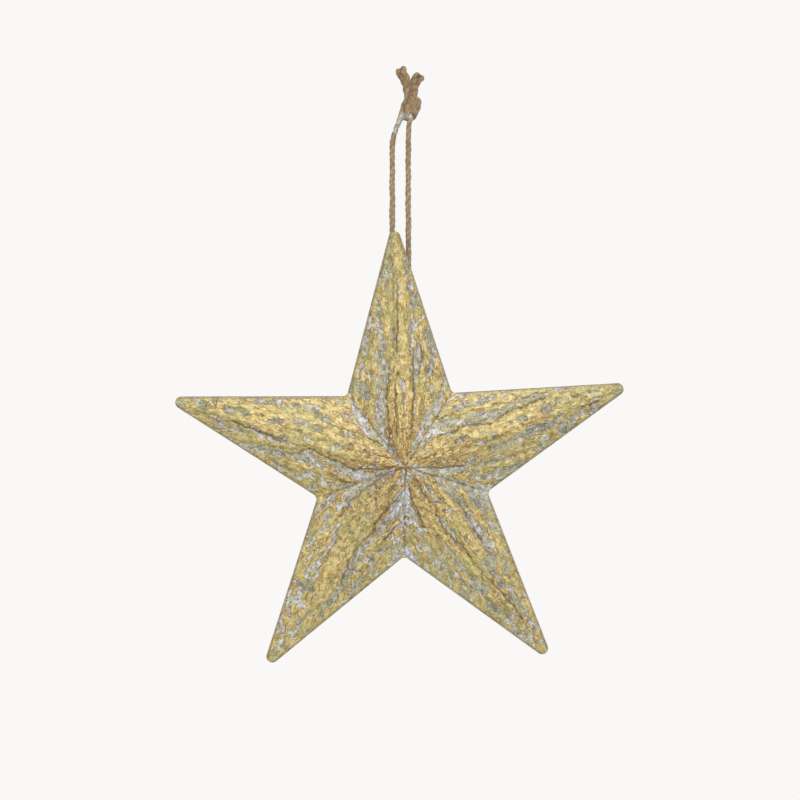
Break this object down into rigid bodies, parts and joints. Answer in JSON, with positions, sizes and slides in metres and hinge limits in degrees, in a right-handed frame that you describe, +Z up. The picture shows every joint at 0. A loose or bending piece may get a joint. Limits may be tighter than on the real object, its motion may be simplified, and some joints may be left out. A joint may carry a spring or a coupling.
{
  "type": "hanging star ornament",
  "caption": "Five-pointed hollow star of gilded embossed tin, hung by a knotted jute loop through a wire eye on its back.",
  "frame": {"origin": "centre of the nail or hook that the cord loop hangs on, just under the knot", "axes": "+Z up, +X to the right seen from the front, the embossed front faces -Y"},
  "size_m": [0.2508, 0.0331, 0.3332],
  "materials": {
    "gilt_tin": "embossed tinplate, gilded and rubbed back to zinc grey in the hollows",
    "bare_tin": "dull aged tinplate",
    "solder": "grey soft solder",
    "eye_wire": "drawn steel wire, lightly rusted",
    "jute": "three-ply twisted jute cord"
  },
  "bodies": {
    "hanger": {"cord_knot": "jute", "cord_tail_left": "jute", "cord_tail_right": "jute"},
    "cord_loop": {"cord_leg_left": "jute", "cord_leg_right": "jute"},
    "bight": {"cord_bight": "jute"},
    "star": {"front_arm_top": "gilt_tin", "front_arm_upper_right": "gilt_tin", "front_arm_lower_right": "gilt_tin", "front_arm_lower_left": "gilt_tin", "front_arm_upper_left": "gilt_tin", "valley_solder": "solder", "back_plate": "bare_tin", "rim_solder": "solder", "eye_patch": "bare_tin", "hanging_eye": "eye_wire", "eye_solder": "solder"}
  },
  "joints": [
    {"name": "cord_twist", "type": "hinge", "parent": "hanger", "child": "cord_loop", "pos_m": [-0.0012, 0, 0.0015], "axis": [0, 0, 1], "range_deg": [-90, 90]},
    {"name": "cord_fold", "type": "hinge", "parent": "cord_loop", "child": "bight", "pos_m": [-0.0012, 0.0016, -0.0904], "axis": [1, 0, 0], "range_deg": [0, 120]},
    {"name": "star_swing", "type": "hinge", "parent": "bight", "child": "star", "pos_m": [-0.0012, 0, -0.092], "axis": [0, 1, 0], "range_deg": [-60, 60]}
  ]
}
